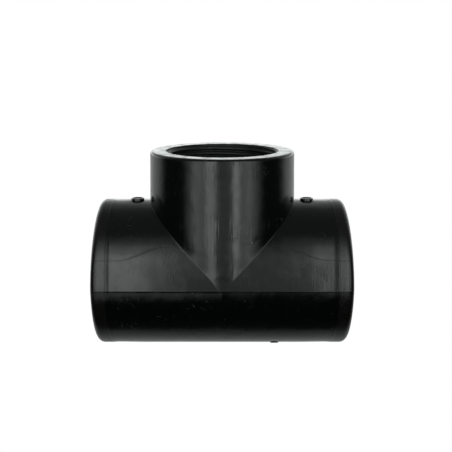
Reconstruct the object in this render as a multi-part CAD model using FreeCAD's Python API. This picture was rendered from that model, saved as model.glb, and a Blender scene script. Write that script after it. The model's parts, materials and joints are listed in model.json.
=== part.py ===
import FreeCAD, Part

import math
import os

# Threaded pipe tee, in millimetres: a run along X, with a branch standing up along +Z.
# The origin is on the plane that the run rests on, straight below the crossing of the two axes.
# The real fitting is one moulding. It is written here as its centre and its three threaded ports,
# divided where each port's thread ends inside, so that each port can be measured by itself.

# Barrels. The branch's radius is at the run's axis, and its height is above that axis.
RUN_RADIUS = 31.4
RUN_HALF_LENGTH = 53.45
BRANCH_RADIUS = 31.49
BRANCH_HEIGHT = 53.0
BRANCH_DRAFT_DEG = 1.0
END_DRAFT_DEG = 1.9
RUN_EDGE_ROUND = 1.7
BRANCH_EDGE_ROUND = 1.3
WATERWAY_RADIUS = 21.6

# Ports, with a parallel pipe thread of 11 turns per inch
PORT_DEPTH = 21.6
THREAD_MINOR_RADIUS = 22.42
THREAD_DEPTH = 1.48
THREAD_PITCH = 2.309
THREAD_CREST_FLAT = 0.62
THREAD_ROOT_FLAT = 0.30
THREAD_RUN_OUT = 1.5
MOUTH_LEAD = 0.1

# Marks that the mould leaves on the outside
COLLAR_WIDTH = 6.3
WITNESS_WIDTH = 0.4
WITNESS_DEPTH = 0.1
PIN_PAD_RADIUS = 2.8
PIN_PAD_HEIGHT = 0.9
PIN_PAD_FROM_END = 17.0
GATE_RADIUS = 1.7
GATE_HEIGHT = 0.4
GATE_FROM_BRANCH = 22.6
GATE_TURN_DEG = 22.0
MARK_ROOT = 3.0

# Worked out from the sizes above
THREAD_MAJOR_RADIUS = THREAD_MINOR_RADIUS + THREAD_DEPTH
MOUTH_RADIUS = THREAD_MAJOR_RADIUS + MOUTH_LEAD
MOUTH_DEPTH = MOUTH_RADIUS - THREAD_MINOR_RADIUS
RUN_SHOULDER = RUN_HALF_LENGTH - PORT_DEPTH
BRANCH_SHOULDER = BRANCH_HEIGHT - PORT_DEPTH
BEYOND = RUN_HALF_LENGTH + BRANCH_HEIGHT + RUN_RADIUS

ORIGIN = FreeCAD.Vector(0, 0, 0)
X_AXIS = FreeCAD.Vector(1, 0, 0)
Y_AXIS = FreeCAD.Vector(0, 1, 0)
Z_AXIS = FreeCAD.Vector(0, 0, 1)
CROSSING = FreeCAD.Vector(0, 0, RUN_RADIUS)


def end_wedge(side):
    """What leans the upper half of an end face inwards. Side is 1 for the right-hand end, -1 for the left."""
    size = 2 * RUN_RADIUS
    wedge = Part.makeBox(size, 2 * size, size, FreeCAD.Vector(0, -size, 0))
    wedge.rotate(ORIGIN, Y_AXIS, -END_DRAFT_DEG)
    wedge.translate(CROSSING + X_AXIS * RUN_HALF_LENGTH)
    if side < 0:
        wedge.rotate(CROSSING, Z_AXIS, 180)
    return wedge


def witness_ring(side):
    """The thin ring groove where the mould's end collar met the rest of the mould."""
    middle = CROSSING + X_AXIS * (side * (RUN_HALF_LENGTH - COLLAR_WIDTH))
    start = middle - X_AXIS * (WITNESS_WIDTH / 2)
    ring = Part.makeCylinder(2 * RUN_RADIUS, WITNESS_WIDTH, start, X_AXIS)
    floor = Part.makeCylinder(RUN_RADIUS - WITNESS_DEPTH, WITNESS_WIDTH, start, X_AXIS)
    return ring.cut(floor)


def run_barrel():
    """The run's outside: a cylinder with drafted end faces, rounded end edges and the collars' grooves."""
    start = CROSSING - X_AXIS * RUN_HALF_LENGTH
    barrel = Part.makeCylinder(RUN_RADIUS, 2 * RUN_HALF_LENGTH, start, X_AXIS)
    for side in (-1, 1):
        barrel = barrel.cut(end_wedge(side))
    rims = [edge for edge in barrel.Edges if not isinstance(edge.Curve, Part.Line)]
    barrel = barrel.makeFillet(RUN_EDGE_ROUND, rims)
    for side in (-1, 1):
        barrel = barrel.cut(witness_ring(side))
    return barrel


def branch_barrel():
    """The branch's outside: it starts at the run's axis, narrows upwards by its draft, and has a rounded rim."""
    top_radius = BRANCH_RADIUS - BRANCH_HEIGHT * math.tan(math.radians(BRANCH_DRAFT_DEG))
    barrel = Part.makeCone(BRANCH_RADIUS, top_radius, BRANCH_HEIGHT, CROSSING)
    middle = CROSSING.z + BRANCH_HEIGHT / 2
    rims = [edge for edge in barrel.Edges if edge.BoundBox.ZMin > middle]
    return barrel.makeFillet(BRANCH_EDGE_ROUND, rims)


def pin_pad(side):
    """The raised round mark that an ejector pin leaves on the crown of the run."""
    along = side * (RUN_HALF_LENGTH - PIN_PAD_FROM_END)
    start = CROSSING + X_AXIS * along + Z_AXIS * (RUN_RADIUS - MARK_ROOT)
    return Part.makeCylinder(PIN_PAD_RADIUS, MARK_ROOT + PIN_PAD_HEIGHT, start)


def gate_mark():
    """The low round stub where the plastic was fed in, underneath the run and turned towards the front."""
    turn = math.radians(GATE_TURN_DEG)
    outwards = FreeCAD.Vector(0, -math.sin(turn), -math.cos(turn))
    start = CROSSING + X_AXIS * GATE_FROM_BRANCH + outwards * (RUN_RADIUS - MARK_ROOT)
    return Part.makeCylinder(GATE_RADIUS, MARK_ROOT + GATE_HEIGHT, start, outwards)


def outside():
    """The whole moulding before it is hollowed."""
    solid = run_barrel().fuse(branch_barrel())
    for mark in (pin_pad(-1), pin_pad(1), gate_mark()):
        solid = solid.fuse(mark)
    return solid


def thread_groove():
    """The helical groove of one port, along Z, with the port's inner end at Z = 0."""
    helix_height = PORT_DEPTH - THREAD_RUN_OUT + THREAD_PITCH
    helix = Part.makeHelix(THREAD_PITCH, helix_height, THREAD_MINOR_RADIUS)
    half_root = THREAD_ROOT_FLAT / 2
    half_opening = (THREAD_PITCH - THREAD_CREST_FLAT) / 2
    overlap = THREAD_DEPTH / 10
    half_inside = half_opening + (half_opening - half_root) * overlap / THREAD_DEPTH
    outline = [
        FreeCAD.Vector(THREAD_MINOR_RADIUS - overlap, 0, -half_inside),
        FreeCAD.Vector(THREAD_MAJOR_RADIUS, 0, -half_root),
        FreeCAD.Vector(THREAD_MAJOR_RADIUS, 0, half_root),
        FreeCAD.Vector(THREAD_MINOR_RADIUS - overlap, 0, half_inside),
    ]
    profile = Part.makePolygon(outline + outline[:1])
    groove = helix.makePipeShell([profile], True, True)
    groove.translate(Z_AXIS * (THREAD_RUN_OUT + half_inside))
    return groove


def port_hollow(turn_deg, inner_end):
    """One port's bore, thread and flared mouth. Its axis is turned from +Z about Y, and starts at inner_end."""
    flare_start = Z_AXIS * (PORT_DEPTH - MOUTH_DEPTH)
    flare_end_radius = MOUTH_RADIUS + MOUTH_DEPTH
    bore = Part.makeCylinder(THREAD_MINOR_RADIUS, 2 * PORT_DEPTH)
    flare = Part.makeCone(THREAD_MINOR_RADIUS, flare_end_radius, 2 * MOUTH_DEPTH, flare_start)
    hollow = bore.fuse(thread_groove()).fuse(flare)
    hollow.rotate(ORIGIN, Y_AXIS, turn_deg)
    hollow.translate(inner_end)
    return hollow


def waterways():
    """The clear passage along the run, and the one that comes down the branch into it."""
    start = CROSSING - X_AXIS * RUN_SHOULDER
    along_run = Part.makeCylinder(WATERWAY_RADIUS, 2 * RUN_SHOULDER, start, X_AXIS)
    down_branch = Part.makeCylinder(WATERWAY_RADIUS, BRANCH_SHOULDER, CROSSING)
    return along_run.fuse(down_branch)


def branch_region():
    """The space of the branch port: round the branch's axis, above the inner end of its thread."""
    base = CROSSING + Z_AXIS * BRANCH_SHOULDER
    return Part.makeCylinder(BRANCH_RADIUS, BEYOND, base)


def run_region(side):
    """The space of one of the run's ports: all that is beyond the inner end of its thread."""
    corner = FreeCAD.Vector(RUN_SHOULDER, -BEYOND, -BEYOND)
    space = Part.makeBox(BEYOND, 2 * BEYOND, 2 * BEYOND, corner)
    if side < 0:
        space.rotate(ORIGIN, Z_AXIS, 180)
    return space


moulding = outside()
below_branch_port = moulding.cut(branch_region())
branch_port = moulding.common(branch_region())
run_port_left = below_branch_port.common(run_region(-1))
run_port_right = below_branch_port.common(run_region(1))
centre_body = below_branch_port.cut(run_region(-1)).cut(run_region(1))

NODES = {
    "centre_body": centre_body.cut(waterways()),
    "branch_port": branch_port.cut(port_hollow(0, CROSSING + Z_AXIS * BRANCH_SHOULDER)),
    "run_port_left": run_port_left.cut(port_hollow(-90, CROSSING - X_AXIS * RUN_SHOULDER)),
    "run_port_right": run_port_right.cut(port_hollow(90, CROSSING + X_AXIS * RUN_SHOULDER)),
}

os.makedirs("parts", exist_ok=True)
for name, shape in NODES.items():
    print(name, len(shape.Solids), "solid", shape.isValid(), round(shape.Volume), "mm3")
    shape.exportStep("parts/" + name + ".step")
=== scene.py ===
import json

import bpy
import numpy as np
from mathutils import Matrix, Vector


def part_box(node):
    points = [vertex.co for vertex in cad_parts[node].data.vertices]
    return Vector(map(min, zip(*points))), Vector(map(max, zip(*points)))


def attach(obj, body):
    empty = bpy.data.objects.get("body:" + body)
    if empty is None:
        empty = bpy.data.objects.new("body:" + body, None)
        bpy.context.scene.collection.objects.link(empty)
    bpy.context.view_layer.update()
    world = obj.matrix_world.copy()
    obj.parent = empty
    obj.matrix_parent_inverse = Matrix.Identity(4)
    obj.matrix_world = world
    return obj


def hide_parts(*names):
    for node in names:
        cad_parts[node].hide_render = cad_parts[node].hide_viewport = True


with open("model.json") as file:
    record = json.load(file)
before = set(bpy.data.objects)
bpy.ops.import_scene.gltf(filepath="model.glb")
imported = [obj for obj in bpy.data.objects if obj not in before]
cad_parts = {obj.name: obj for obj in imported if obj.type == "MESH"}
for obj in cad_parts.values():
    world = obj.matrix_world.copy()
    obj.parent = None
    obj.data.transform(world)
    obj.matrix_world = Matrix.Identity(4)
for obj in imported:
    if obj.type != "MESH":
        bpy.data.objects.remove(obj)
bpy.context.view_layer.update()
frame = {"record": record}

# %% [markdown]
# This lesson finishes a black moulded pipe tee. The frame that was just loaded holds the tee's four
# engineering solids, in metres: a centre and three threaded ports. They are right in size, but a solid
# from a drawing has no draft, no mould marks and no grain, and those are what make plastic look moulded.
# So each solid gets a surface of its own here, worked out from the same sizes, and then its finishes.
# The tee lies along X, its branch points up along Z, and its front looks along -Y.

MM = 0.001

# %% [markdown]
# Every driving size is read from the frame where the frame holds it, so that the looks follow the
# drawing if it changes. All lengths below are in millimetres, and heights are measured from the run's
# axis, because that is where the run, the branch and the mould's parting plane meet.

# %% Sizes from the frame
run_low, run_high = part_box("run_port_right")
branch_low, branch_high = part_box("branch_port")
_, centre_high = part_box("centre_body")
mount = {entry["name"]: entry for entry in frame["record"]["mounts"]}

RUN_RADIUS = run_high.y / MM
AXIS_HEIGHT = RUN_RADIUS
RUN_END = run_high.x / MM
PORT_START = run_low.x / MM
PORT_LENGTH = RUN_END - PORT_START
BRANCH_START = branch_low.z / MM - AXIS_HEIGHT
BRANCH_FOOT_RADIUS = centre_high.y / MM
BRANCH_START_RADIUS = branch_high.y / MM
THREAD_MINOR = mount["branch"]["dims"]["r_mm"]
print("run radius", round(RUN_RADIUS, 2), "run end", round(RUN_END, 2), "port length", round(PORT_LENGTH, 2))
print("branch radius at foot and port", round(BRANCH_FOOT_RADIUS, 2), round(BRANCH_START_RADIUS, 2))

# %% Sizes of the mould's details, in millimetres and degrees
WATERWAY = 21.6
THREAD_DEPTH = 1.48
THREAD_PITCH = 2.309
MOUTH_LEAD = 0.1
MOUTH_RADIUS = THREAD_MINOR + THREAD_DEPTH + MOUTH_LEAD
END_DRAFT = np.radians(1.9)
RUN_ROUND = 2.7
BRANCH_ROUND = 1.3
PARTING_DRAFT = np.radians(2.0)
CREASE_ROUND = 0.14
CREASE_BEGINS = 1.5
CREASE_ENDS = 0.2
FOOT_BLEND = 1.0

# %% [markdown]
# A closed skin is made of sheets. A sheet is a grid of points, rows by columns, and every cell of the
# grid is cut into two triangles. Blender could also join such grids with its merge tool, but numpy does
# it here in one step for a whole piece: points that lie in the same place become one point, and the
# triangles that lost their area that way are left out. A closed skin then has two triangles at every
# edge, and its volume is positive if its faces point outwards, so both are printed for each piece.

# %% Sheets, and how they are joined
WELD = 0.0001
SHARP_ANGLE = np.radians(30)
PLANE_TOLERANCE = 0.001
OUTSIDE_SHARE = 0.9


def sheet(points, inwards=False, finish=0, hole=None):
    """A grid of points as triangles, two to a cell. Its outer side is (along a row) x (down a column),
    or the other side if inwards. A hole is a block of cells to leave out: first and last row and column."""
    rows, columns = points.shape[:2]
    number = np.arange(rows * columns).reshape(rows, columns)
    kept = np.ones((rows - 1, columns - 1), bool)
    if hole is not None:
        kept[hole[0]:hole[1], hole[2]:hole[3]] = False
    a, b = number[:-1, :-1][kept], number[:-1, 1:][kept]
    c, d = number[1:, 1:][kept], number[1:, :-1][kept]
    triangles = np.concatenate([np.stack([a, b, c], 1), np.stack([a, c, d], 1)])
    if inwards:
        triangles = triangles[:, ::-1]
    return points.reshape(-1, 3), triangles, finish


def join(sheets):
    """All sheets as one skin, with points that coincide made one and flat triangles left out."""
    points = np.concatenate([one[0] for one in sheets])
    starts = np.cumsum([0] + [len(one[0]) for one in sheets[:-1]])
    triangles = np.concatenate([one[1] + start for one, start in zip(sheets, starts)])
    finishes = np.concatenate([np.full(len(one[1]), one[2]) for one in sheets])
    places = np.round(points / WELD).astype(np.int64)
    _, first, place = np.unique(places, axis=0, return_index=True, return_inverse=True)
    triangles = place.ravel()[triangles]
    after = np.roll(triangles, -1, axis=1)
    whole = (triangles != after).all(1)
    return points[first], triangles[whole], finishes[whole]


def loose_edges(triangles):
    """How many edges don't have exactly two triangles."""
    edges = np.concatenate([triangles[:, [0, 1]], triangles[:, [1, 2]], triangles[:, [2, 0]]])
    _, counts = np.unique(np.sort(edges, axis=1), axis=0, return_counts=True)
    return int((counts != 2).sum())


def volume(points, triangles):
    """The volume inside a skin: a sixth of the sum of each triangle's a . (b x c)."""
    a, b, c = (points[triangles[:, corner]] for corner in range(3))
    return float((a * np.cross(b, c)).sum() / 6)


# %% A joined skin as a Blender piece
def make_piece(name, sheets, materials):
    """A mesh in metres at the frame's origin, smooth but for its corners and the mould's parting line."""
    points, triangles, finishes = join(sheets)
    mesh = bpy.data.meshes.new(name)
    mesh.vertices.add(len(points))
    mesh.loops.add(triangles.size)
    mesh.polygons.add(len(triangles))
    mesh.vertices.foreach_set("co", ((points + (0, 0, AXIS_HEIGHT)) * MM).ravel())
    mesh.loops.foreach_set("vertex_index", triangles.ravel())
    mesh.polygons.foreach_set("loop_start", np.arange(0, triangles.size, 3))
    for material in materials:
        mesh.materials.append(material)
    mesh.polygons.foreach_set("material_index", finishes)
    mesh.update(calc_edges=True)
    mesh.set_sharp_from_angle(angle=SHARP_ANGLE)
    mark_parting_line(mesh)
    piece = bpy.data.objects.new(name, mesh)
    bpy.context.scene.collection.objects.link(piece)
    print(name, len(triangles), "triangles,", loose_edges(triangles), "loose edges,",
          round(volume(points, triangles)), "mm3")
    return piece


def mark_parting_line(mesh):
    """Makes the edges sharp that lie on the parting plane and outside, where the two drafts meet."""
    ends = np.empty(len(mesh.edges) * 2, np.int32)
    mesh.edges.foreach_get("vertices", ends)
    places = np.empty(len(mesh.vertices) * 3, np.float32)
    mesh.vertices.foreach_get("co", places)
    x, y, z = (places.reshape(-1, 3) / MM)[ends].reshape(-1, 2, 3).transpose(2, 0, 1)
    on_plane = (np.abs(z - AXIS_HEIGHT) < PLANE_TOLERANCE).all(1)
    on_plane &= (np.abs(y) > OUTSIDE_SHARE * RUN_RADIUS).all(1)
    attribute = mesh.attributes.get("sharp_edge") or mesh.attributes.new("sharp_edge", "BOOLEAN", "EDGE")
    sharp = np.empty(len(mesh.edges), bool)
    attribute.data.foreach_get("value", sharp)
    attribute.data.foreach_set("value", sharp | on_plane)


# %% [markdown]
# The run is a cylinder in the drawing. In the mould, its two halves open at the parting plane, so each
# wall leans a little there to come free: the circle ends in a short flat that touches it. Two such flats
# meet at a blunt corner, and that corner is the line that runs along the front of every such fitting.
# The angle a goes round the run from the front, 0, over the top, 90 degrees, to the back.

# %% The run's section, and the branch's lean
def run_radius(angle):
    """The run's radius at an angle: R, or R / cos(d - a) within the draft angle d of the parting plane."""
    from_plane = np.abs(np.arcsin(np.clip(np.sin(angle), -1, 1)))
    return RUN_RADIUS / np.cos(np.clip(PARTING_DRAFT - from_plane, 0, None))


def foot_rise(height):
    """The height that the branch's lean acts over. It starts gently: sqrt(z2 + k2) - k."""
    return np.sqrt(height**2 + FOOT_BLEND**2) - FOOT_BLEND


BRANCH_LEAN = (BRANCH_FOOT_RADIUS - BRANCH_START_RADIUS) / foot_rise(BRANCH_START)


def branch_radius(height):
    """The branch's radius at a height above the run's axis: its foot's radius less the lean."""
    return BRANCH_FOOT_RADIUS - BRANCH_LEAN * foot_rise(height)


half_turn = np.linspace(0, np.pi, 91)
near_plane = np.radians([1, 3, 177, 179])
UPPER = np.sort(np.concatenate([half_turn, near_plane]))
LOWER = -UPPER
print("lean of the branch:", round(np.degrees(np.arctan(BRANCH_LEAN)), 2), "degrees")

# %% [markdown]
# The centre is where the run and the branch cross. A boolean would leave long thin triangles along the
# crossing, and no rounding there. Instead, each line of the surface goes straight along the run to
# the crossing, round a small fillet, and up the branch. Where the line at angle a meets the branch is a
# formula: x2 = rb2 - y2, with y and z on the run. The water passages inside cross in the same way, so the
# same function makes both: with the run's and the branch's radius equal and no lean, it is the inside.

# %% The upper right quarter of two crossing tubes
ALONG = 16
ROUND = 6
RISE = 9


def on_branch(radius, side, height):
    """A point of the branch: side is the angle round it from the front."""
    radius, side, height = np.broadcast_arrays(radius, side, height)
    return np.stack([radius * np.sin(side), -radius * np.cos(side), height], -1)


def crossing(section, side_radius, fillet):
    """Lines that come along the run from its port, turn up and climb the branch. One row for each angle
    in UPPER. The fillet is a quarter turn between C + f x run and C + f x branch. It fades at both ends:
    f = fillet x (1 - e^(-z / begins)) x (1 - e^(-(top - z) / ends))."""
    angle = UPPER[:, None]
    y, z = section(angle) * np.cos(angle), section(angle) * np.sin(angle)
    z = np.minimum(z, BRANCH_START)
    x = np.sqrt(np.clip(side_radius(z) ** 2 - y**2, 0, None))
    side = np.arctan2(x, y)
    corner = np.concatenate([x, -y, z], 1)[:, None]
    size = fillet * (1 - np.exp(-z / CREASE_BEGINS)) * (1 - np.exp(-(BRANCH_START - z) / CREASE_ENDS))
    foot = on_branch(side_radius(z + size), side, z + size) - corner
    out = np.array([1.0, 0, 0]) * size[..., None]
    start = corner + out
    port = np.concatenate([np.full_like(x, PORT_START), -y, z], 1)[:, None]
    way = np.linspace(0, 1, ALONG)[None, :, None]
    along = port + (start - port) * way
    turn = np.linspace(0, np.pi / 2, ROUND)[None, :, None]
    bend = corner + (1 - np.sin(turn)) * out + (1 - np.cos(turn)) * foot
    climb = np.linspace(0, 1, RISE)[None, :]
    height = (z + size) + (BRANCH_START - z - size) * climb
    rise = on_branch(side_radius(height), side, height)
    return along, bend, rise, side[:, 0]


MIRROR = np.array([-1.0, 1, 1])


def both_sides(points, **options):
    """A sheet and its mirror image across the plane x = 0, turned inside out so that both face outwards."""
    inwards = options.pop("inwards", False)
    return [sheet(points, inwards=inwards, **options),
            sheet(points * MIRROR, inwards=not inwards, **options)]


# %% [markdown]
# The branch is 0.09 mm wider than the run, so at the front it ends in a ledge on the parting plane. That is
# why the V of the crossing has no sharp tip. The lines of the ledge are between the first line of the
# crossing and the middle. The lower half is the run alone, in lines of constant angle.

# %% The centre's sheets
def tip_lines(side):
    """The branch's wall above the ledge: climbing lines between the front's middle and the crossing."""
    height = np.linspace(0, 1, RISE)[None, :] * BRANCH_START
    return on_branch(branch_radius(height), side[:, None], height)


def lower_half(section, stations):
    """The run's lower half: one row for each angle in LOWER, one column for each station along X."""
    angle = LOWER[:, None]
    radius = section(angle)
    x = np.broadcast_to(stations, (len(LOWER), len(stations)))
    y = np.broadcast_to(-radius * np.cos(angle), x.shape)
    z = np.broadcast_to(radius * np.sin(angle), x.shape)
    return np.stack([x, y, z], -1)


def waterway_section(angle):
    """The water passage is round: its radius is the same at every angle."""
    return np.full_like(angle, WATERWAY)


def waterway_side(height):
    """The branch's passage has the run's radius, at every height."""
    return np.full_like(height, WATERWAY)


outer_along, outer_bend, outer_rise, outer_side = crossing(run_radius, branch_radius, CREASE_ROUND)
inner_along, _, inner_rise, _ = crossing(waterway_section, waterway_side, 0.0)
tip_side = np.linspace(0, outer_side[0], 5)
front_tip = tip_lines(tip_side)
back_tip = tip_lines(np.pi - tip_side)
ledge_y = run_radius(np.zeros(1))[0]
print("the V is cut off", round(2 * BRANCH_FOOT_RADIUS * np.sin(outer_side[0]), 2), "mm wide")


def ledge(tip):
    """The strip of the parting plane between the branch's foot and the run below it."""
    foot = tip[:, 0]
    run_edge = foot.copy()
    run_edge[:, 1] = np.sign(foot[:, 1]) * ledge_y
    return np.stack([foot, run_edge], 1)


# %% [markdown]
# The plastic was fed into the mould through a round gate underneath, and small pins pushed the tee out, so a
# low stub and two round pads stand on the barrel. Each is a patch: a ring of points for each step of its
# outline, from the barrel's own grid, through circles, to one point in the middle. That keeps the
# piece a single closed skin, where a separate disc pushed into the barrel would not.

# %% Round marks on a barrel
PAD_RADIUS = 2.86
PIN_PAD = ((3.15, 0.0), (PAD_RADIUS, 0.06), (2.8, 0.3), (2.78, 0.74), (2.68, 0.86), (2.52, 0.9),
           (2.2, 0.9), (2.02, 0.84), (1.9, 0.62), (1.2, 0.58), (0.0, 0.6))
GATE_STUB = ((2.1, 0.0), (1.78, 0.05), (1.7, 0.22), (1.6, 0.38), (1.36, 0.4), (1.1, 0.34), (0.92, 0.08),
             (0.5, 0.05), (0.0, 0.12))


def grid_hole(points, centre, reach):
    """The block of cells of a grid whose points lie within reach of a centre, in each direction."""
    near = (np.abs(points - centre) < reach).all(-1)
    rows, columns = np.where(near.any(1))[0], np.where(near.any(0))[0]
    return rows[0], rows[-1], columns[0], columns[-1]


def round_mark(points, hole, centre, up, outline):
    """Rings from a hole's rim to the middle of a mark. A ring has a radius round the up direction, and a
    height over the barrel's crown, or none at the first ring, which lies on the barrel."""
    r0, r1, c0, c1 = hole
    rim = np.concatenate([points[r0, c0:c1], points[r0:r1, c1], points[r1, c1:c0:-1], points[r1:r0:-1, c0]])
    rim = np.concatenate([rim, rim[:1]])
    across = np.cross(up, (1.0, 0, 0))
    u, v = rim[:, 0] - centre[0], rim @ across
    length = np.hypot(u, v)
    rings = [rim]
    for radius, height in outline:
        x = centre[0] + radius * u / length
        w = radius * v / length
        on_barrel = np.sqrt(RUN_RADIUS**2 - w**2)
        raised = RUN_RADIUS + height * (radius < PAD_RADIUS)
        lift = on_barrel if height == 0.0 else np.maximum(on_barrel, raised)
        rings.append(x[:, None] * (1, 0, 0) + w[:, None] * across + lift[:, None] * up)
    return np.stack(rings, 0)


# %% The centre body
GATE_X = 22.6
GATE_TURN = np.radians(22)
GATE_PATCH = (3.0, 3.4, 3.4)
gate_up = np.array([0.0, -np.sin(GATE_TURN), -np.cos(GATE_TURN)])
gate_centre = GATE_X * np.array([1.0, 0, 0]) + RUN_RADIUS * gate_up


def centre_sheets():
    """Everything between the three ports: outside, passages, and the faces that the ports stand on."""
    outer = []
    for part in (outer_along, outer_bend, outer_rise, front_tip):
        outer += both_sides(part, inwards=True)
    outer += both_sides(back_tip)
    outer += both_sides(ledge(front_tip)) + both_sides(ledge(back_tip), inwards=True)
    tip_x = front_tip[::-1, 0, 0]
    stations = np.concatenate([outer_along[0, :, 0], tip_x])
    stations = np.unique(np.round(np.concatenate([stations, -stations]), 6))
    below = lower_half(run_radius, stations)
    hole = grid_hole(below, gate_centre, GATE_PATCH)
    outer.append(sheet(below, inwards=True, hole=hole))
    outer.append(sheet(round_mark(below, hole, gate_centre, gate_up, GATE_STUB), inwards=True))
    inner = both_sides(inner_along, finish=1) + both_sides(inner_rise, finish=1)
    passage = np.unique(np.round(np.concatenate([inner_along[0, :, 0], -inner_along[0, :, 0]]), 6))
    inner.append(sheet(lower_half(waterway_section, passage), finish=1))
    upper_face = np.stack([outer_along[:, 0], inner_along[:, 0]], 1)
    lower_face = np.stack([below[:, -1], lower_half(waterway_section, passage)[:, -1]], 1)
    outer_ring = np.concatenate([front_tip[:-1, -1], outer_rise[:, -1], back_tip[-2::-1, -1]])
    clamped = np.clip(np.arange(len(outer_ring)) - (len(tip_side) - 1), 0, len(UPPER) - 1)
    top_face = np.stack([outer_ring, inner_rise[clamped, -1]], 1)
    faces = both_sides(upper_face, finish=1) + both_sides(lower_face, inwards=True, finish=1)
    return outer + inner + faces + both_sides(top_face, inwards=True, finish=1)


# %% [markdown]
# A port is the same thing three times: a barrel with a rounded rim outside, and a right-handed pipe thread
# inside. A thread could be a short profile repeated by a Screw modifier, but then its two ends stop
# dead. Here the rows of the grid climb with the thread, one pitch for each turn, and each row is cut off
# where the port begins or ends. The radius at a place follows from where it is between two crests, so
# the thread fades out inside and runs out cleanly through the flare at the mouth.

# %% The inside of a port
ROWS_PER_TURN = 14
THREAD_BEGINS = 0.7
THREAD_FADE = 1.4
CREST_SHARE = 0.25
FLANK_SHARE = 0.62
ROUNDED_SHARE = 0.6


def thread_radius(along, angle, hand):
    """The bore's radius: minor radius, plus the thread's depth times how far the place is from a crest.
    The flanks are straight in the middle and rounded at crest and root. The 45 degree flare cuts both."""
    turns = (along / THREAD_PITCH - hand * angle / (2 * np.pi)) % 1.0
    from_crest = 1 - np.abs(2 * turns - 1)
    straight = np.clip((from_crest - CREST_SHARE) / FLANK_SHARE, 0, 1)
    rounded = straight**2 * (3 - 2 * straight)
    depth = THREAD_DEPTH * ((1 - ROUNDED_SHARE) * straight + ROUNDED_SHARE * rounded)
    begun = np.clip((along - THREAD_BEGINS) / THREAD_FADE, 0, 1)
    return np.maximum(THREAD_MINOR + depth * begun, MOUTH_RADIUS + along - PORT_LENGTH)


def port_inside(angles, tilt, hand):
    """The thread's rows (along, radius) from the port's inner end to its face, a column for each angle."""
    mouth_radius = MOUTH_RADIUS / (1 + tilt)
    mouth = PORT_LENGTH - tilt * mouth_radius
    turns = int(np.ceil(PORT_LENGTH / THREAD_PITCH)) + 2
    row = np.arange(-ROWS_PER_TURN, turns * ROWS_PER_TURN)[:, None] / ROWS_PER_TURN
    along = (row + hand * angles[None] / (2 * np.pi)) * THREAD_PITCH
    along = np.clip(along, 0, mouth[None])
    radius = thread_radius(along, angles[None], hand)
    radius[along >= mouth[None]] = np.broadcast_to(mouth_radius, along.shape)[along >= mouth[None]]
    return along, radius


# %% The outside of a port
def port_outside(angles, stations, barrel, lean, tilt, edge_round):
    """The barrel's rows, the rounded rim and the face, as (along, radius), a column for each angle. The
    rim is the arc that touches both the leaning barrel and the tilted face."""
    barrel_reach = barrel(PORT_LENGTH, angles) + lean * PORT_LENGTH - edge_round * np.hypot(1, lean)
    face_reach = PORT_LENGTH - edge_round * np.hypot(1, tilt)
    centre_along = (face_reach - tilt * barrel_reach) / (1 - tilt * lean)
    centre_radius = barrel_reach - lean * centre_along
    first, last = np.arctan(lean), np.pi / 2 - np.arctan(tilt)
    turn = first + (last - first)[None] * np.linspace(0, 1, 9)[:, None]
    rim_along = centre_along + edge_round * np.sin(turn)
    rim_radius = centre_radius + edge_round * np.cos(turn)
    stations = stations[stations < rim_along[0].min()]
    rows = np.broadcast_to(stations[:, None], (len(stations), len(angles)))
    radius = np.concatenate([barrel(rows, angles[None]), rim_radius[:1]])
    rows = np.concatenate([rows, rim_along[:1]])
    inner = MOUTH_RADIUS / (1 + tilt)
    share = np.linspace(0, 1, 5)[:, None]
    face_radius = rim_radius[-1] + (inner - rim_radius[-1]) * share
    face_along = PORT_LENGTH - tilt * face_radius
    barrel_rows = (rows, radius)
    rim_rows = (rim_along, rim_radius)
    return barrel_rows, rim_rows, (face_along, face_radius)


def port_sheets(angles, parts, inside, place, flip, marks=()):
    """All sheets of one port. place turns (along, radius, angle) into points, and marks are its pads."""
    barrel_rows, rim_rows, face_rows = (place(*rows, angles[None]) for rows in parts)
    bore = place(*inside, angles[None])
    end = np.stack([bore[0], barrel_rows[0]], 0)
    made = [sheet(rim_rows, inwards=flip), sheet(face_rows, inwards=flip, finish=2)]
    made += [sheet(bore[::-1], inwards=flip, finish=1), sheet(end, inwards=flip, finish=1)]
    hole = None
    for centre, up, outline, reach in marks:
        hole = grid_hole(barrel_rows, centre, reach)
        made.append(sheet(round_mark(barrel_rows, hole, centre, up, outline), inwards=flip))
    made.append(sheet(barrel_rows, inwards=flip, hole=hole))
    return made


# %% The branch's port
ring_side = np.concatenate([tip_side[:-1], outer_side, (np.pi - tip_side)[-2::-1]])
BRANCH_ANGLES = np.concatenate([ring_side, 2 * np.pi - ring_side[-2::-1]])


def branch_barrel(along, angle):
    """The branch's radius at a distance along its port: it doesn't depend on the angle."""
    return branch_radius(BRANCH_START + along) + 0 * angle


def place_on_branch(along, radius, angle):
    """Points round the branch's axis, from the front."""
    along, radius, angle = np.broadcast_arrays(along, radius, angle)
    return on_branch(radius, angle, BRANCH_START + along)


def branch_sheets():
    """The branch's port: upright face, so its tilt is none, and a barrel that leans in by the draft."""
    flat = np.zeros_like(BRANCH_ANGLES)
    stations = np.linspace(0, PORT_LENGTH, 23)
    parts = port_outside(BRANCH_ANGLES, stations, branch_barrel, BRANCH_LEAN, flat, BRANCH_ROUND)
    inside = port_inside(BRANCH_ANGLES, flat, 1)
    return port_sheets(BRANCH_ANGLES, parts, inside, place_on_branch, False)


# %% [markdown]
# The run's ends were shaped by collars that slid into the mould from both sides. They left a hair-line
# groove round the barrel, and where the thick wall behind it shrank while it cooled, a soft hollow
# beside the line. The hollow is far too shallow to see as a shape, but a glossy black surface shows it
# in its reflections, so it is in the mesh and not only in the material.

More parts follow.
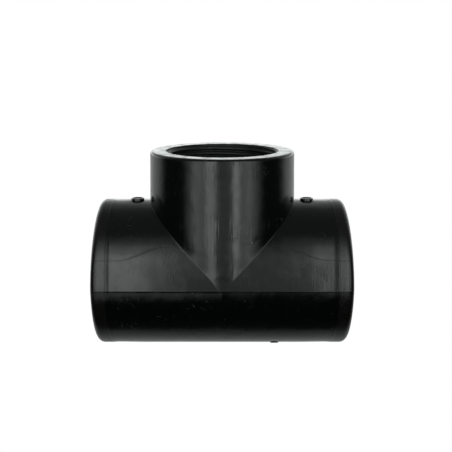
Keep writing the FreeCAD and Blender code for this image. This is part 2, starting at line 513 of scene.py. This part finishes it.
# %% The run's ports
COLLAR_WIDTH = 6.3
COLLAR_LINE = PORT_LENGTH - COLLAR_WIDTH
GROOVE_HALF_WIDTH = 0.2
GROOVE_DEPTH = 0.07
HOLLOW_NEAR = 1.7
HOLLOW_FAR = 14.5
HOLLOW_DEPTH = 0.12
PAD_FROM_END = 17.0
PAD_ALONG = PORT_LENGTH - PAD_FROM_END
PAD_PATCH = (4.0, 4.0, 4.0)
RUN_ANGLES = np.concatenate([UPPER, UPPER[1:] + np.pi])


def soft_step(value):
    """From 0 to 1 as the value does, with level ends: 3 t2 - 2 t3."""
    step = np.clip(value, 0, 1)
    return step**2 * (3 - 2 * step)


def run_barrel(along, angle):
    """The run's radius less the groove, a cosine notch, and less the hollow. The hollow falls off steeply
    beside the groove, and comes back slowly towards the centre."""
    notch = np.clip(np.abs(along - COLLAR_LINE) / GROOVE_HALF_WIDTH, 0, 1)
    inboard = COLLAR_LINE - GROOVE_HALF_WIDTH - along
    groove = GROOVE_DEPTH * (1 + np.cos(np.pi * notch)) / 2
    back = soft_step((inboard - HOLLOW_NEAR) / (HOLLOW_FAR - HOLLOW_NEAR))
    hollow = HOLLOW_DEPTH * soft_step(inboard / HOLLOW_NEAR) * (1 - back)
    return run_radius(angle) - groove - hollow


def place_on_run(along, radius, angle):
    """Points round the run's axis, on the right."""
    along, radius, angle = np.broadcast_arrays(along, radius, angle)
    return np.stack([PORT_START + along, -radius * np.cos(angle), radius * np.sin(angle)], -1)


def place_on_left(along, radius, angle):
    """Points round the run's axis, on the left: the right side's mirror image."""
    return place_on_run(along, radius, angle) * MIRROR


def run_sheets(on_left):
    """One of the run's ports. Only the face's upper half leans in: that half of the mould opens upwards."""
    tilt = np.clip(np.sin(RUN_ANGLES), 0, None) * np.tan(END_DRAFT)
    before = np.linspace(0, COLLAR_LINE - 0.25, 31)
    close = COLLAR_LINE + GROOVE_HALF_WIDTH * np.linspace(-1, 1, 9)
    after = np.linspace(COLLAR_LINE + 0.4, PORT_LENGTH, 7)
    stations = np.concatenate([before, close, after])
    parts = port_outside(RUN_ANGLES, stations, run_barrel, 0.0, tilt, RUN_ROUND)
    inside = port_inside(RUN_ANGLES, tilt, 1 if on_left else -1)
    place = place_on_left if on_left else place_on_run
    centre = place(PAD_ALONG, RUN_RADIUS, np.pi / 2)
    up = np.array([0.0, 0, 1])
    marks = [(centre, up, PIN_PAD, PAD_PATCH)]
    return port_sheets(RUN_ANGLES, parts, inside, place, not on_left, marks)


# %% [markdown]
# The plastic is black all through, with a satin skin that is a copy of the mould's steel. Nearly all of
# what one sees on it is reflection, so its material is mostly about roughness and tiny slopes, and hardly
# about colour. Three finishes share the same few effects: the outside from the polished mould, the
# threads and passages from the cores, and the ports' flat faces. Each effect is a node group, built once,
# and each finish places it with values of its own. First come a few small helpers for wiring nodes.

# %% Helpers for nodes
def node(tree, kind, inputs, **settings):
    """A new node with its settings. Each input is given a value, or a socket that is linked to it."""
    made = tree.nodes.new("ShaderNode" + kind)
    for name, value in settings.items():
        setattr(made, name, value)
    for key, value in inputs.items():
        if isinstance(value, bpy.types.NodeSocket):
            tree.links.new(value, made.inputs[key])
        else:
            made.inputs[key].default_value = value
    return made


def math(tree, operation, first, second=0.0):
    """The result of one sum on two values or sockets."""
    return node(tree, "Math", {0: first, 1: second}, operation=operation).outputs[0]


def between(tree, value, low, high):
    """A soft step: 0 where the value is at low, 1 where it is at high."""
    edges = {"Value": value, "From Min": low, "From Max": high}
    return node(tree, "MapRange", edges, interpolation_type="SMOOTHSTEP").outputs["Result"]


def blend(tree, amount, first, second):
    """A colour between two colours or colour sockets."""
    return node(tree, "Mix", {0: amount, 6: first, 7: second}, data_type="RGBA").outputs[2]


def noise(tree, place, scale, detail, output="Fac"):
    """A noise texture's value, or its colour, at a place."""
    return node(tree, "TexNoise", {"Vector": place, "Scale": scale, "Detail": detail}).outputs[output]


def new_group(name, numbers, outputs):
    """A node group with a Place input and named numbers. Gives the tree and its two ends' sockets."""
    tree = bpy.data.node_groups.new(name, "ShaderNodeTree")
    tree.interface.new_socket("Place", in_out="INPUT", socket_type="NodeSocketVector")
    for label, value in numbers.items():
        socket = tree.interface.new_socket(label, in_out="INPUT", socket_type="NodeSocketFloat")
        socket.default_value = value
    for label in outputs:
        tree.interface.new_socket(label, in_out="OUTPUT", socket_type="NodeSocketFloat")
    start, end = tree.nodes.new("NodeGroupInput"), tree.nodes.new("NodeGroupOutput")
    print("node group", name, list(numbers), "->", list(outputs))
    return tree, start.outputs, end.inputs


def place_group(tree, group, place, **numbers):
    """A node group in a material, with its values there. Gives the group's outputs."""
    made = tree.nodes.new("ShaderNodeGroup")
    made.node_tree = group
    tree.links.new(place, made.inputs["Place"])
    for label, value in numbers.items():
        made.inputs[label].default_value = value
    return made.outputs


# %% [markdown]
# Steel that was polished by hand is never flat: it has a slow waviness, which makes every reflected
# edge wander a little, and a fine grain, which spreads the light. A noise texture gives both, one with
# a size in centimetres and one under half a millimetre. The output is a height, for a Bump node.

# %% Skin of the mould: waves and grain
def skin_group():
    """Height = waves x noise at the wave size + grain x noise at the grain size, in shares of the bump."""
    numbers = {"Wave size": 0.011, "Waves": 0.6, "Grain size": 0.0005, "Grain": 0.04}
    tree, given, result = new_group("mould_skin", numbers, ["Height", "Patches"])
    wave_scale = math(tree, "DIVIDE", 1.0, given["Wave size"])
    waves = noise(tree, given["Place"], wave_scale, 1.0)
    grain = noise(tree, given["Place"], math(tree, "DIVIDE", 1.0, given["Grain size"]), 2.0)
    slow = math(tree, "MULTIPLY", waves, given["Waves"])
    fine = math(tree, "MULTIPLY", grain, given["Grain"])
    tree.links.new(math(tree, "ADD", slow, fine), result["Height"])
    patch_scale = math(tree, "MULTIPLY", wave_scale, 2.6)
    patches = noise(tree, given["Place"], patch_scale, 3.0)
    tree.links.new(between(tree, patches, 0.4, 0.68), result["Patches"])
    return tree


SKIN = skin_group()

# %% [markdown]
# The mould's halves open straight up and down, and they drag along the plastic for the first hair's breadth.
# That leaves faint upright lines, all parallel to Z, on the branch as on the front of the run. A noise
# that is stretched along Z draws them. They come and go, because a second noise fades them. The same
# group, placed a second time with wide and short lines, makes the ripple that a polisher's strokes left.

# %% Draw marks
def draw_group():
    """Height = noise of (x, y, z / stretch), faded by a slow noise. Marks are its strongest lines."""
    numbers = {"Width": 0.0006, "Stretch": 24.0}
    tree, given, result = new_group("draw_marks", numbers, ["Height", "Marks"])
    squeeze = math(tree, "DIVIDE", 1.0, given["Stretch"])
    factors = node(tree, "CombineXYZ", {"X": 1.0, "Y": 1.0, "Z": squeeze}).outputs[0]
    drawn = node(tree, "VectorMath", {0: given["Place"], 1: factors}, operation="MULTIPLY").outputs[0]
    scale = math(tree, "DIVIDE", 1.0, given["Width"])
    lines = noise(tree, drawn, scale, 2.0)
    fade = noise(tree, given["Place"], 75.0, 2.0)
    present = between(tree, fade, 0.42, 0.62)
    tree.links.new(math(tree, "MULTIPLY", lines, present), result["Height"])
    tree.links.new(math(tree, "MULTIPLY", between(tree, lines, 0.6, 0.72), present), result["Marks"])
    return tree


DRAW = draw_group()

# %% [markdown]
# Fittings lie loose in a bin, so they rub against each other's rims. A rim leaves short curved scuffs
# and hair scratches, and dust settles everywhere. Painting them by hand would give better single marks,
# but only on one side. Cells do it all round: a Voronoi texture gives each cell a centre and a random
# number, a scuff is a piece of a ring about the centre, and a dust grain is a dot in a small cell.

# %% Handling: scuffs and dust
def handling_group():
    """Scuffs = a ring at a third of a cell, broken up by noise, in a share of the cells. Scratches are
    thin slanting noise. Dust = the middle of a small cell, in a few of the cells."""
    numbers = {"Cell": 0.006, "Share": 0.3, "Dust cell": 0.0024, "Dust share": 0.008}
    tree, given, result = new_group("handling", numbers, ["Scuffs", "Dust"])
    wobble = noise(tree, given["Place"], 260.0, 1.0, "Color")
    shift = node(tree, "VectorMath", {0: wobble, 1: (0.004, 0.004, 0.004)}, operation="MULTIPLY").outputs[0]
    bent = node(tree, "VectorMath", {0: given["Place"], 1: shift}, operation="ADD").outputs[0]
    cell_scale = math(tree, "DIVIDE", 1.0, given["Cell"])
    cells = node(tree, "TexVoronoi", {"Vector": bent, "Scale": cell_scale})
    from_ring = math(tree, "ABSOLUTE", math(tree, "SUBTRACT", cells.outputs["Distance"], 0.3))
    ring = between(tree, from_ring, 0.05, 0.0)
    chance = node(tree, "SeparateColor", {0: cells.outputs["Color"]}).outputs[0]
    chosen = math(tree, "LESS_THAN", chance, given["Share"])
    breaks = noise(tree, given["Place"], 420.0, 2.0)
    ring = math(tree, "MULTIPLY", math(tree, "MULTIPLY", ring, chosen), between(tree, breaks, 0.5, 0.66))
    slant = {"Vector": given["Place"], "Rotation": (0.4, 0.9, 0.5), "Scale": (1.0, 1.0, 0.05)}
    hairs = noise(tree, node(tree, "Mapping", slant).outputs[0], 1500.0, 1.0)
    hair = math(tree, "MULTIPLY", between(tree, hairs, 0.71, 0.78), 0.6)
    tree.links.new(math(tree, "MAXIMUM", ring, hair), result["Scuffs"])
    dust_scale = math(tree, "DIVIDE", 1.0, given["Dust cell"])
    grains = node(tree, "TexVoronoi", {"Vector": given["Place"], "Scale": dust_scale})
    luck = node(tree, "SeparateColor", {0: grains.outputs["Color"]}).outputs[1]
    lucky = math(tree, "LESS_THAN", luck, given["Dust share"])
    dot = between(tree, grains.outputs["Distance"], 0.12, 0.07)
    tree.links.new(math(tree, "MULTIPLY", dot, lucky), result["Dust"])
    return tree


HANDLING = handling_group()

# %% [markdown]
# The outside carries four marks of its own. The collars at the run's ends were rougher steel, so their
# bands are paler and mottled. Where the plastic's fronts met, a hair-line flow mark bends down from the
# crossing towards each port. A hair of plastic was squeezed out on the parting line. Below it the
# plastic is hazy on one side, where that half of the mould was worn. All four are masks worked out
# from the place on the tee.

# %% The outside's own marks
SKIN_BLACK = (0.0009, 0.0012, 0.0012, 1)
BAND_BLACK = (0.0030, 0.0029, 0.0026, 1)
DUST_GREY = (0.30, 0.29, 0.27, 1)
FLOW_HIGH, FLOW_LOW = 17.5, 12.3
FLOW_NEAR, FLOW_FAR = 22.0, 42.0
FLOW_GONE, FLOW_WHOLE = 19.0, 30.0
FLOW_FRONT = -20.0, -24.0
FLOW_HALF_WIDTH = 0.4
SEAM_HALF_WIDTH = 0.3
HAZE_STARTS, HAZE_WHOLE = 0.5, 1.1
HAZE_FADES, HAZE_ENDS = 1.2, 6.0
MIDDLE_WHOLE, MIDDLE_ENDS = 10.0, 17.0


def collar_band(tree, axes):
    """1 on the last 6 mm of the run's barrel at both ends, 0 elsewhere."""
    across = math(tree, "ABSOLUTE", axes["X"])
    line = (PORT_START + COLLAR_LINE) * MM
    return between(tree, across, line, line + GROOVE_HALF_WIDTH * MM)


def flow_mark(tree, axes):
    """1 on the line whose height falls from FLOW_HIGH to FLOW_LOW as |x| goes from near to far. It is
    faint beside the branch, and gone on it."""
    across = math(tree, "ABSOLUTE", axes["X"])
    fall = between(tree, across, FLOW_NEAR * MM, FLOW_FAR * MM)
    drop = math(tree, "MULTIPLY", fall, (FLOW_HIGH - FLOW_LOW) * MM)
    height = math(tree, "SUBTRACT", (AXIS_HEIGHT + FLOW_HIGH) * MM, drop)
    from_line = math(tree, "ABSOLUTE", math(tree, "SUBTRACT", axes["Z"], height))
    line = between(tree, from_line, FLOW_HALF_WIDTH * MM, 0.05 * MM)
    line = math(tree, "MULTIPLY", line, between(tree, across, FLOW_GONE * MM, FLOW_WHOLE * MM))
    in_front = between(tree, axes["Y"], *(place * MM for place in FLOW_FRONT))
    return math(tree, "MULTIPLY", line, in_front)


def seam_ridge(tree, axes):
    """1 on the parting line, where the mould's halves met, falling to 0 above and below it."""
    from_line = math(tree, "ABSOLUTE", math(tree, "SUBTRACT", axes["Z"], AXIS_HEIGHT * MM))
    return between(tree, from_line, SEAM_HALF_WIDTH * MM, 0.0)


def worn_haze(tree, axes, patches):
    """The band below the parting line: whole on the left, and only in patches on the right."""
    below = between(tree, axes["Z"], (AXIS_HEIGHT - HAZE_STARTS) * MM, (AXIS_HEIGHT - HAZE_WHOLE) * MM)
    fading = between(tree, axes["Z"], (AXIS_HEIGHT - HAZE_ENDS) * MM, (AXIS_HEIGHT - HAZE_FADES) * MM)
    left = math(tree, "ADD", 0.7, math(tree, "MULTIPLY", patches, 0.3))
    left = math(tree, "MULTIPLY", between(tree, axes["X"], 0.3 * MM, -0.3 * MM), left)
    share = math(tree, "MAXIMUM", left, math(tree, "MULTIPLY", patches, 0.12))
    return math(tree, "MULTIPLY", math(tree, "MULTIPLY", below, fading), share)


# %% A material to start from
def principled(name, colour):
    """A new material with one Principled shader. Gives it, its tree, the shader and the object's place."""
    material = bpy.data.materials.new(name)
    material.use_nodes = True
    tree = material.node_tree
    shader = tree.nodes["Principled BSDF"]
    shader.inputs["Base Color"].default_value = colour
    place = node(tree, "TexCoord", {}).outputs["Object"]
    return material, tree, shader, place


def total(tree, *shares):
    """A sum of values: each share is a number, or a pair of a socket and its weight."""
    result = 0.0
    for share in shares:
        value = math(tree, "MULTIPLY", *share) if isinstance(share, tuple) else share
        result = math(tree, "ADD", result, value)
    return result


# %% Outside finish
def outside_finish():
    """Polished black skin with waves, draw marks, scuffs, dust and the mould's own marks."""
    material, tree, shader, place = principled("moulded_outside", SKIN_BLACK)
    axes = node(tree, "SeparateXYZ", {0: place}).outputs
    skin = place_group(tree, SKIN, place)
    draw = place_group(tree, DRAW, place)
    ripple = place_group(tree, DRAW, place, Width=0.003, Stretch=2.5)["Height"]
    middle = between(tree, math(tree, "ABSOLUTE", axes["X"]), MIDDLE_ENDS * MM, MIDDLE_WHOLE * MM)
    handled = place_group(tree, HANDLING, place)
    band, flow, seam = collar_band(tree, axes), flow_mark(tree, axes), seam_ridge(tree, axes)
    haze = worn_haze(tree, axes, skin["Patches"])
    greyer = math(tree, "MAXIMUM", band, math(tree, "MULTIPLY", haze, 0.8))
    colour = blend(tree, greyer, SKIN_BLACK, BAND_BLACK)
    colour = blend(tree, math(tree, "MULTIPLY", handled["Scuffs"], 0.05), colour, DUST_GREY)
    colour = blend(tree, math(tree, "MULTIPLY", handled["Dust"], 0.8), colour, DUST_GREY)
    tree.links.new(colour, shader.inputs["Base Color"])
    rough = total(tree, 0.16, (skin["Patches"], 0.06), (draw["Marks"], 0.1), (band, 0.08), (haze, 0.2),
                  (handled["Scuffs"], 0.14), (handled["Dust"], 0.3))
    tree.links.new(rough, shader.inputs["Roughness"])
    middle_lines = math(tree, "MULTIPLY", middle, draw["Height"])
    middle_ripple = math(tree, "MULTIPLY", middle, ripple)
    height = total(tree, (skin["Height"], 1.0), (draw["Height"], 0.09), (middle_lines, 0.1),
                   (middle_ripple, 0.45), (flow, -0.22), (seam, 0.3), (handled["Scuffs"], 0.02))
    bump = node(tree, "Bump", {"Height": height, "Strength": 1.0, "Distance": 0.00022})
    tree.links.new(bump.outputs["Normal"], shader.inputs["Normal"])
    return material


# %% [markdown]
# The cores that shaped the threads and passages were turned on a lathe and not polished, and no one wipes
# dust out of a bore. So the inside is duller and greyer: more grain, more roughness, more dust.
# The ports' flat faces are between the two: a fine even grain that catches a grazing light.

# %% Inside and face finishes
def plain_finish(name, colour, roughness, grain, dust_share):
    """A duller copy of the outside's skin, without the outside's own marks."""
    material, tree, shader, place = principled(name, colour)
    skin = place_group(tree, SKIN, place, Grain=grain)
    handled = place_group(tree, HANDLING, place, Share=0.15, **{"Dust share": dust_share})
    darker = (*(0.5 * channel for channel in colour[:3]), 1)
    shade = blend(tree, math(tree, "MULTIPLY", skin["Patches"], 0.6), colour, darker)
    shade = blend(tree, math(tree, "MULTIPLY", handled["Dust"], 0.8), shade, DUST_GREY)
    tree.links.new(shade, shader.inputs["Base Color"])
    rough = total(tree, roughness, (skin["Patches"], 0.1), (handled["Scuffs"], 0.1), (handled["Dust"], 0.3))
    tree.links.new(rough, shader.inputs["Roughness"])
    bump = node(tree, "Bump", {"Height": skin["Height"], "Strength": 1.0, "Distance": 0.00008})
    tree.links.new(bump.outputs["Normal"], shader.inputs["Normal"])
    return material


outside = outside_finish()
inside = plain_finish("cored_inside", (0.016, 0.018, 0.018, 1), 0.38, 0.12, 0.06)
face = plain_finish("port_face", (0.006, 0.007, 0.007, 1), 0.15, 0.12, 0.004)
FINISHES = (outside, inside, face)

# %% The four pieces
def finished(name, node, sheets):
    """A piece that stands for an engineering solid, which it hides, and hangs from the root body."""
    piece = make_piece(name, sheets, FINISHES)
    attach(piece, "root")
    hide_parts(node)
    return piece


finished("centre_body_skin", "centre_body", centre_sheets())
finished("branch_port_skin", "branch_port", branch_sheets())
finished("run_port_left_skin", "run_port_left", run_sheets(True))
finished("run_port_right_skin", "run_port_right", run_sheets(False))

# %% [markdown]
# A black glossy thing shows the room and not itself, so the studio is most of the picture. To the eye the
# floor and the surround are plain white. The gloss sees something else: a tall, soft, pale wall behind the
# camera with two brighter uprights in it, a light horizon at the back, and darkness below and beside. A
# few lamps could do that too, but their hard outlines would show in the barrel. The wall is one
# sheet whose glow follows two ramps, across and up, so every transition on it can be soft.

# %% Ramps
def emission_material(name):
    """A material that only glows, with its tree and its Emission node."""
    material = bpy.data.materials.new(name)
    material.use_nodes = True
    tree = material.node_tree
    tree.nodes.remove(tree.nodes["Principled BSDF"])
    glow = tree.nodes.new("ShaderNodeEmission")
    tree.links.new(glow.outputs["Emission"], tree.nodes["Material Output"].inputs["Surface"])
    return material, tree, glow


def ramp(tree, value, stops, full, tint=(1, 1, 1)):
    """A soft ramp over a value: stops are pairs of the value and its level. A ramp node works from 0 to
    1 both ways, so the value is mapped onto its stops' range, and levels are shares of full."""
    first, last = stops[0][0], stops[-1][0]
    span = node(tree, "MapRange", {"Value": value, "From Min": first, "From Max": last})
    levels = node(tree, "ValToRGB", {"Fac": span.outputs["Result"]})
    levels.color_ramp.interpolation = "EASE"
    elements = levels.color_ramp.elements
    for place, _ in stops[1:-1]:
        elements.new((place - first) / (last - first))
    for element, (_, level) in zip(elements, stops):
        element.color = (*(level / full * channel for channel in tint), 1)
    return levels.outputs["Color"]


def stage_sheet(name, corners, material):
    """A flat four-cornered part of the studio, which only the rays that it is meant for see."""
    mesh = bpy.data.meshes.new(name)
    mesh.from_pydata(corners, [], [(0, 1, 2, 3)])
    mesh.materials.append(material)
    flat = bpy.data.objects.new(name, mesh)
    bpy.context.scene.collection.objects.link(flat)
    flat.visible_shadow = False
    return flat


# %% Floor
FLOOR_HALF = 4.0
pale, _, _ = emission_material("pale_floor")
floor_corners = [(-FLOOR_HALF, -FLOOR_HALF, 0), (FLOOR_HALF, -FLOOR_HALF, 0),
                 (FLOOR_HALF, FLOOR_HALF, 0), (-FLOOR_HALF, FLOOR_HALF, 0)]
floor = stage_sheet("studio_floor", floor_corners, pale)
floor.visible_glossy = False
floor.visible_diffuse = False

# %% Soft wall behind the camera
WALL_Y = -0.362
WALL_LOW, WALL_HIGH = -0.081, 1.0
WALL_ACROSS = ((-0.65, 0.05), (-0.45, 0.6), (-0.31, 1.9), (-0.20, 1.25), (-0.165, 1.4), (-0.145, 2.8),
               (-0.076, 2.9), (-0.066, 2.3), (-0.048, 0.7), (-0.015, 0.5), (0.05, 0.55), (0.083, 0.7),
               (0.097, 0.75), (0.110, 3.4), (0.155, 3.4), (0.185, 1.3), (0.22, 1.25), (0.30, 1.9),
               (0.42, 1.2), (0.50, 0.8), (0.65, 0.3), (0.75, 0.05))
WALL_UP = ((WALL_LOW, 0.88), (0.25, 1.0), (0.39, 0.55), (0.60, 0.2), (WALL_HIGH, 0.08))
WALL_TINT = (0.955, 1.0, 0.985)
WALL_FULL = 3.3


def soft_wall():
    """The wall's sheet. Its glow is the level across times the level up."""
    material, tree, glow = emission_material("soft_wall")
    place = node(tree, "TexCoord", {}).outputs["Object"]
    axes = node(tree, "SeparateXYZ", {0: place}).outputs
    across = ramp(tree, axes["X"], WALL_ACROSS, WALL_FULL, WALL_TINT)
    up = ramp(tree, axes["Z"], WALL_UP, 1.0)
    both = node(tree, "VectorMath", {0: across, 1: up}, operation="MULTIPLY")
    tree.links.new(both.outputs[0], glow.inputs["Color"])
    glow.inputs["Strength"].default_value = WALL_FULL
    left, right = WALL_ACROSS[0][0], WALL_ACROSS[-1][0]
    corners = [(left, WALL_Y, WALL_LOW), (left, WALL_Y, WALL_HIGH), (right, WALL_Y, WALL_HIGH),
               (right, WALL_Y, WALL_LOW)]
    wall = stage_sheet("soft_wall", corners, material)
    wall.visible_camera = False
    return wall


soft_wall()

# %% The room that the gloss sees
FRONT_LEVELS = ((-1.0, 0.02), (-0.9, 0.006), (-0.4, 0.006), (0.0, 0.03), (0.5, 0.12), (1.0, 0.12))
BACK_LEVELS = ((-1.0, 0.12), (-0.97, 0.25), (-0.86, 0.36), (-0.6, 0.42), (-0.33, 0.45), (-0.12, 0.65),
               (0.02, 0.85), (0.12, 2.2), (0.20, 0.75), (0.33, 0.6), (0.5, 0.43), (0.65, 0.28), (0.8, 0.15),
               (1.0, 0.12))
ROOM_FULL = 2.2
BACK_STARTS, BACK_WHOLE = 0.17, 0.57


def room():
    """A world that is white to the eye. Other rays see one level ramp over height towards the front and
    another towards the back, blended over y / sqrt(x2 + y2), the ray's compass direction."""
    world = bpy.data.worlds.new("studio")
    world.use_nodes = True
    bpy.context.scene.world = world
    tree = world.node_tree
    ray = node(tree, "TexCoord", {}).outputs["Generated"]
    height = node(tree, "SeparateXYZ", {0: ray}).outputs["Z"]
    front = ramp(tree, height, FRONT_LEVELS, ROOM_FULL, WALL_TINT)
    back = ramp(tree, height, BACK_LEVELS, ROOM_FULL, WALL_TINT)
    level = node(tree, "VectorMath", {0: ray, 1: (1, 1, 0)}, operation="MULTIPLY").outputs[0]
    compass = node(tree, "VectorMath", {0: level}, operation="NORMALIZE").outputs[0]
    heading = node(tree, "SeparateXYZ", {0: compass}).outputs["Y"]
    depth = ramp(tree, heading, ((BACK_STARTS, 0.0), (BACK_WHOLE, 1.0)), 1.0)
    dim = tree.nodes["Background"]
    dim.inputs["Strength"].default_value = ROOM_FULL
    tree.links.new(blend(tree, depth, front, back), dim.inputs["Color"])
    white = node(tree, "Background", {"Color": (1, 1, 1, 1)})
    to_eye = node(tree, "LightPath", {}).outputs["Is Camera Ray"]
    seen = {"Fac": to_eye, 1: dim.outputs["Background"], 2: white.outputs["Background"]}
    choice = node(tree, "MixShader", seen)
    tree.links.new(choice.outputs["Shader"], tree.nodes["World Output"].inputs["Surface"])


room()

# %% [markdown]
# The camera stands a third of a metre in front of the tee and looks down at it a little. From so near
# it sees the branch's mouth at a flatter angle than the run below, which a farther camera with a longer
# lens wouldn't do.

# %% Camera
CAMERA_BACK, CAMERA_UP = 0.32466, 0.09345
CAMERA_PITCH = np.radians(12.77)
camera_data = bpy.data.cameras.new("camera")
camera_data.lens = 60.85
camera_data.sensor_width = 36.0
camera_data.shift_x = 0.0084
camera_data.clip_start = 0.01
camera = bpy.data.objects.new("camera", camera_data)
camera.location = (0, -CAMERA_BACK, AXIS_HEIGHT * MM + CAMERA_UP)
camera.rotation_euler = (np.pi / 2 - CAMERA_PITCH, 0, 0)
bpy.context.scene.collection.objects.link(camera)
bpy.context.scene.camera = camera
bpy.context.scene.view_settings.view_transform = "Standard"
